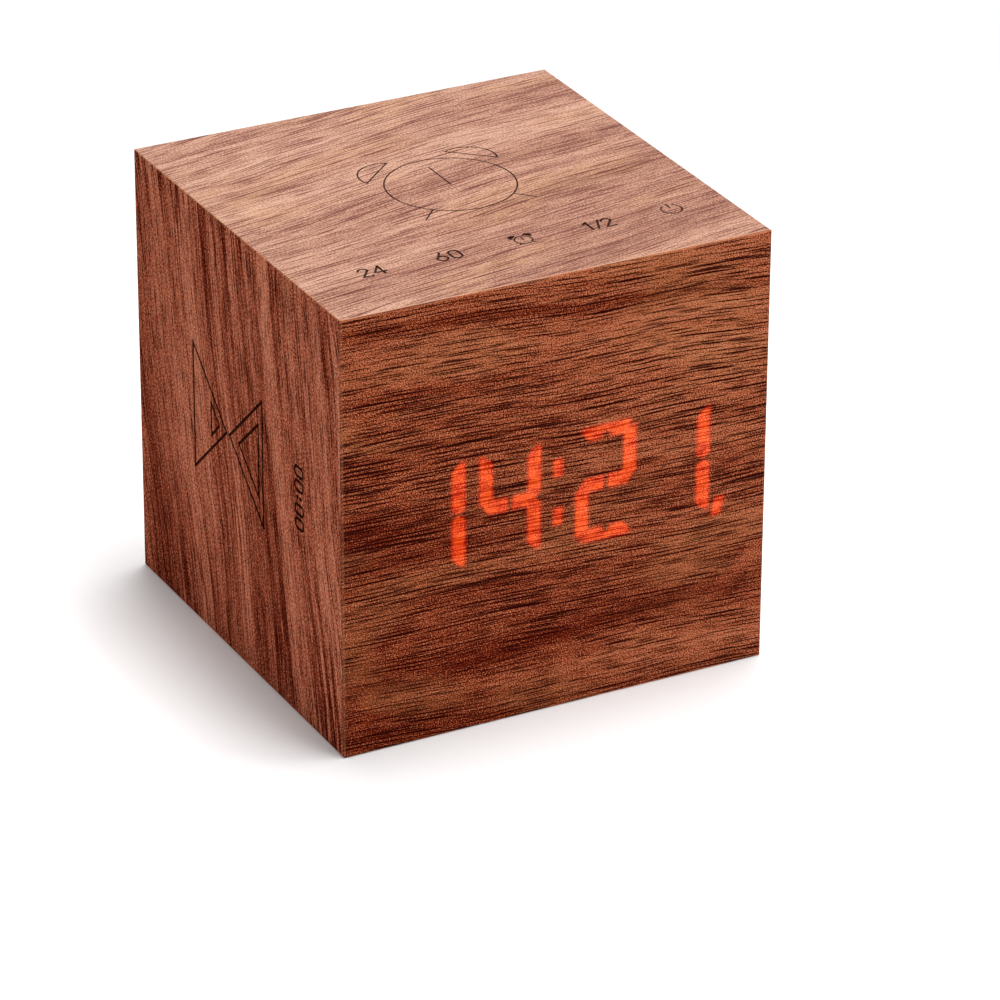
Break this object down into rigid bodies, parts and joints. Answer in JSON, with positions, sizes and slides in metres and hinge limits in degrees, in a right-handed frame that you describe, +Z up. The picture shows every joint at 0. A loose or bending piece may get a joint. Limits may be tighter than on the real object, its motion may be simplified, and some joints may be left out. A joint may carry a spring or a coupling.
{
  "type": "cube alarm clock",
  "caption": "Cube alarm clock of walnut-veneered boards: red digits glow through the front, touch keys lie under the engraved top, ports and sounder are at the rear.",
  "frame": {"origin": "middle of the base, on the surface that the clock stands on", "axes": "+Z up, the display faces -Y, +X to the right as one faces the display"},
  "size_m": [0.085, 0.085, 0.085],
  "materials": {
    "walnut_top": "satin",
    "walnut_side": "satin",
    "walnut_front": "satin",
    "walnut_rear": "satin",
    "block_wood": "sawn",
    "black_plastic": "moulded",
    "white_plastic": "moulded",
    "switch_grey": "moulded",
    "diffuser": "milky film",
    "led_red": "clear lens, lit",
    "board_green": "solder mask",
    "chip_black": "moulded",
    "steel": "plated",
    "brass": "plain",
    "screw_bronze": "bronzed",
    "copper_pad": "tinned copper",
    "ceramic_part": "plain",
    "cell_wrap": "foil pouch",
    "foam": "closed-cell foam",
    "lead_red": "insulation",
    "ribbon": "flat flexible cable"
  },
  "bodies": {
    "case": {"top_board": "walnut_top", "bottom_board": "walnut_side", "left_board": "walnut_side", "right_board": "walnut_side", "front_veneer": "walnut_front", "segment_plate": "black_plastic", "rear_panel": "walnut_rear", "corner_block_upper_left": "block_wood", "corner_block_upper_right": "block_wood", "corner_block_lower_left": "block_wood", "corner_block_lower_right": "block_wood", "rear_panel_screws": "screw_bronze", "port_plate": "black_plastic", "port_plate_screws": "steel", "diffuser_film": "diffuser", "display_board": "board_green", "display_leds": "led_red", "display_driver": "chip_black", "display_socket": "white_plastic", "display_board_screws": "steel", "display_ribbon": "ribbon", "main_board": "board_green", "main_board_pillars": "white_plastic", "main_board_screws": "steel", "main_display_socket": "white_plastic", "main_touch_socket": "white_plastic", "controller_chip": "chip_black", "charger_chip": "chip_black", "clock_crystal": "steel", "chip_capacitors": "ceramic_part", "charging_socket": "steel", "charging_tongue": "chip_black", "slide_switch_body": "steel", "reset_switch_body": "steel", "tilt_sensor_case": "black_plastic", "tilt_sensor_lid": "black_plastic", "battery_tray": "black_plastic", "battery_tray_screws": "steel", "battery_pad": "foam", "battery_cell": "cell_wrap", "battery_header": "white_plastic", "battery_plug": "white_plastic", "battery_leads": "lead_red", "sounder_case": "black_plastic", "sounder_disc": "brass", "sounder_gasket": "foam", "sounder_screws": "steel", "sounder_header": "white_plastic", "sounder_plug": "white_plastic", "sounder_leads": "lead_red", "touch_board": "board_green", "touch_pads": "copper_pad", "touch_chip": "chip_black", "touch_socket": "white_plastic", "touch_ribbon": "ribbon"},
    "power_slider": {"power_slider": "switch_grey"},
    "reset_button": {"reset_button": "switch_grey"},
    "tilt_ball": {"tilt_ball": "steel"}
  },
  "joints": [
    {"name": "power_slide", "type": "slide", "parent": "case", "child": "power_slider", "axis": [-1, 0, 0], "range_m": [0, 0.002]},
    {"name": "reset_press", "type": "slide", "parent": "case", "child": "reset_button", "axis": [0, -1, 0], "range_m": [0, 0.0005], "stiffness_N_per_m": 2000},
    {"name": "tilt_roll", "type": "hinge", "parent": "case", "child": "tilt_ball", "pos_m": [0.0185, 0.00355, 0.0206], "axis": [0, -1, 0], "continuous": true}
  ]
}
